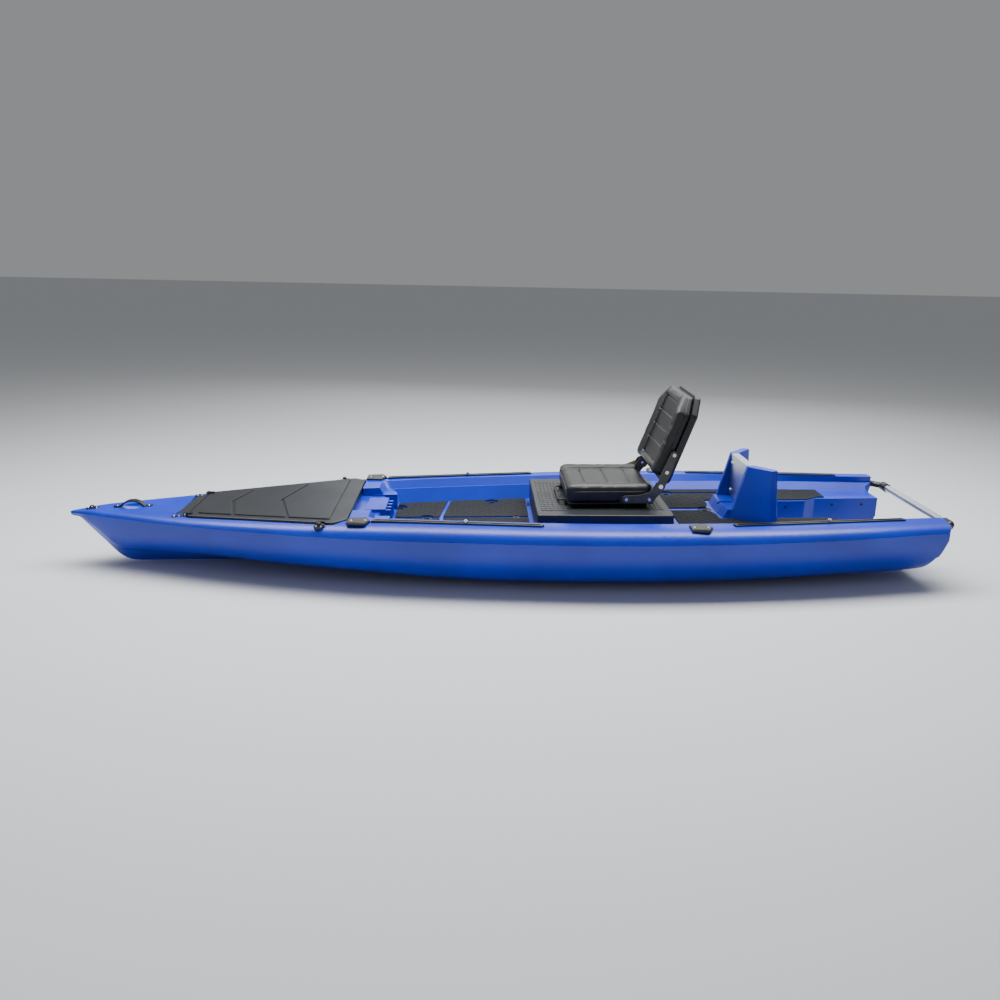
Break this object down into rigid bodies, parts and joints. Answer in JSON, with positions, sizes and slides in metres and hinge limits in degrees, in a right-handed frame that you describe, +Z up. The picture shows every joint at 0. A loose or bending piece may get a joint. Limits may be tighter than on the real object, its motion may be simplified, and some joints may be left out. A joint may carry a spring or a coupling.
{
  "type": "rigid fishing kayak with stern motor well",
  "caption": "Rigid sit-on-top boat with hinged bow hatch, reclining seat on a lift-off box, gear tracks, clamp-on motor mount, open stern well and stern grab bar.",
  "frame": {"origin": "on the lowest keel line, halfway along the whole boat, on the centre line", "axes": "+X towards the stern, +Y to starboard, +Z up"},
  "size_m": [4.289, 1.1906, 0.8744],
  "materials": {
    "hull_blue": "satin moulded polyethylene",
    "moulded_black": "fine-grained moulded polyethylene",
    "fitting_black": "glass-filled nylon",
    "gasket_rubber": "matt",
    "deck_foam": "grooved foam",
    "aluminium": "satin anodised",
    "board": "sealed board",
    "stainless": "polished",
    "rail_steel": "black paint",
    "bracket_steel": "olive-grey powder coat",
    "lever_beige": "satin paint",
    "seat_vinyl": "black vinyl, lightly glossy"
  },
  "bodies": {
    "hull": {"hull": "hull_blue", "hatch_gasket": "gasket_rubber", "hatch_front_strip": "moulded_black", "hatch_hinge_brackets": "fitting_black", "hatch_hinge_pins": "stainless", "latch_bases": "fitting_black", "deck_screws": "stainless", "bow_handle": "fitting_black", "bow_pad_eye": "fitting_black", "box_pad_eyes": "fitting_black", "scupper_plugs": "fitting_black", "transducer_cover": "fitting_black", "cover_screws": "stainless", "cable_grommet": "fitting_black", "motor_mount": "hull_blue", "transom_board": "board", "clamp_plate": "aluminium", "clamp_bolts": "stainless", "stern_bar": "aluminium", "well_inserts": "rail_steel", "accessory_plate_fore_port": "fitting_black", "accessory_plate_fore_starboard": "fitting_black", "accessory_plate_aft_port": "fitting_black", "accessory_plate_aft_starboard": "fitting_black", "gear_track_fore_port": "fitting_black", "gear_track_fore_starboard": "fitting_black", "gear_track_aft_port": "fitting_black", "gear_track_aft_starboard": "fitting_black", "floor_pad_fore_port": "deck_foam", "floor_pad_fore_starboard": "deck_foam", "floor_pad_mid_port": "deck_foam", "floor_pad_mid_starboard": "deck_foam", "deck_pad_port": "deck_foam", "deck_pad_starboard": "deck_foam", "stern_elbow_port": "fitting_black", "stern_elbow_starboard": "fitting_black"},
    "hatch_lid": {"hatch_lid": "moulded_black"},
    "latch_port": {"latch_knob_port": "fitting_black"},
    "latch_starboard": {"latch_knob_starboard": "fitting_black"},
    "seat_box": {"seat_box": "moulded_black", "slide_rails_lower": "rail_steel"},
    "seat_base": {"slide_rails_upper": "rail_steel", "seat_pan": "rail_steel", "seat_cushion": "seat_vinyl", "bracket_bolts": "stainless", "pivot_bolts": "stainless", "recliner_housing": "fitting_black", "bracket_lower_port": "bracket_steel", "bracket_lower_starboard": "bracket_steel"},
    "slide_release": {"slide_release_bar": "rail_steel"},
    "backrest": {"backrest_shell": "fitting_black", "backrest_cushion": "seat_vinyl", "back_bolts": "stainless", "bracket_upper_port": "bracket_steel", "bracket_upper_starboard": "bracket_steel"},
    "recline_lever": {"recline_lever": "lever_beige"},
    "track_bolt_fore_port": {"track_bolt_fore_port": "stainless"},
    "track_bolt_fore_starboard": {"track_bolt_fore_starboard": "stainless"},
    "track_bolt_aft_port": {"track_bolt_aft_port": "stainless"},
    "track_bolt_aft_starboard": {"track_bolt_aft_starboard": "stainless"}
  },
  "joints": [
    {"name": "hatch_hinge", "type": "hinge", "parent": "hull", "child": "hatch_lid", "pos_m": [-1.5525, 0, 0.29586], "axis": [0, -1, 0], "range_deg": [0, 95]},
    {"name": "latch_turn_port", "type": "hinge", "parent": "hull", "child": "latch_port", "pos_m": [-0.9045, -0.38979, 0.30411], "axis": [0, 0, 1], "range_deg": [0, 90]},
    {"name": "latch_turn_starboard", "type": "hinge", "parent": "hull", "child": "latch_starboard", "pos_m": [-0.9045, 0.38979, 0.30411], "axis": [0, 0, -1], "range_deg": [0, 90]},
    {"name": "box_lift", "type": "slide", "parent": "hull", "child": "seat_box", "axis": [0, 0, 1], "range_m": [0, 0.25]},
    {"name": "seat_slide", "type": "slide", "parent": "seat_box", "child": "seat_base", "axis": [1, 0, 0], "range_m": [-0.06, 0.06]},
    {"name": "slide_release", "type": "hinge", "parent": "seat_base", "child": "slide_release", "pos_m": [0.275, 0, 0.34], "axis": [0, 1, 0], "range_deg": [0, 6], "stiffness_Nm_per_rad": 2, "springref_deg": -11.46},
    {"name": "backrest_recline", "type": "hinge", "parent": "seat_base", "child": "backrest", "pos_m": [0.69, 0, 0.44], "axis": [0, 1, 0], "range_deg": [-60, 15]},
    {"name": "recline_lever", "type": "hinge", "parent": "seat_base", "child": "recline_lever", "pos_m": [0.69, 0.2565, 0.44], "axis": [0, 1, 0], "range_deg": [0, 20], "stiffness_Nm_per_rad": 3, "springref_deg": -17.19},
    {"name": "track_slide_fore_port", "type": "slide", "parent": "hull", "child": "track_bolt_fore_port", "axis": [0.993, -0.1183, 0], "range_m": [-0.4078, 0.3297]},
    {"name": "track_slide_fore_starboard", "type": "slide", "parent": "hull", "child": "track_bolt_fore_starboard", "axis": [0.993, 0.1183, 0], "range_m": [-0.4078, 0.3297]},
    {"name": "track_slide_aft_port", "type": "slide", "parent": "hull", "child": "track_bolt_aft_port", "axis": [0.9967, 0.0807, 0], "range_m": [-0.4503, 0.3645]},
    {"name": "track_slide_aft_starboard", "type": "slide", "parent": "hull", "child": "track_bolt_aft_starboard", "axis": [0.9967, -0.0807, 0], "range_m": [-0.4503, 0.3645]}
  ]
}
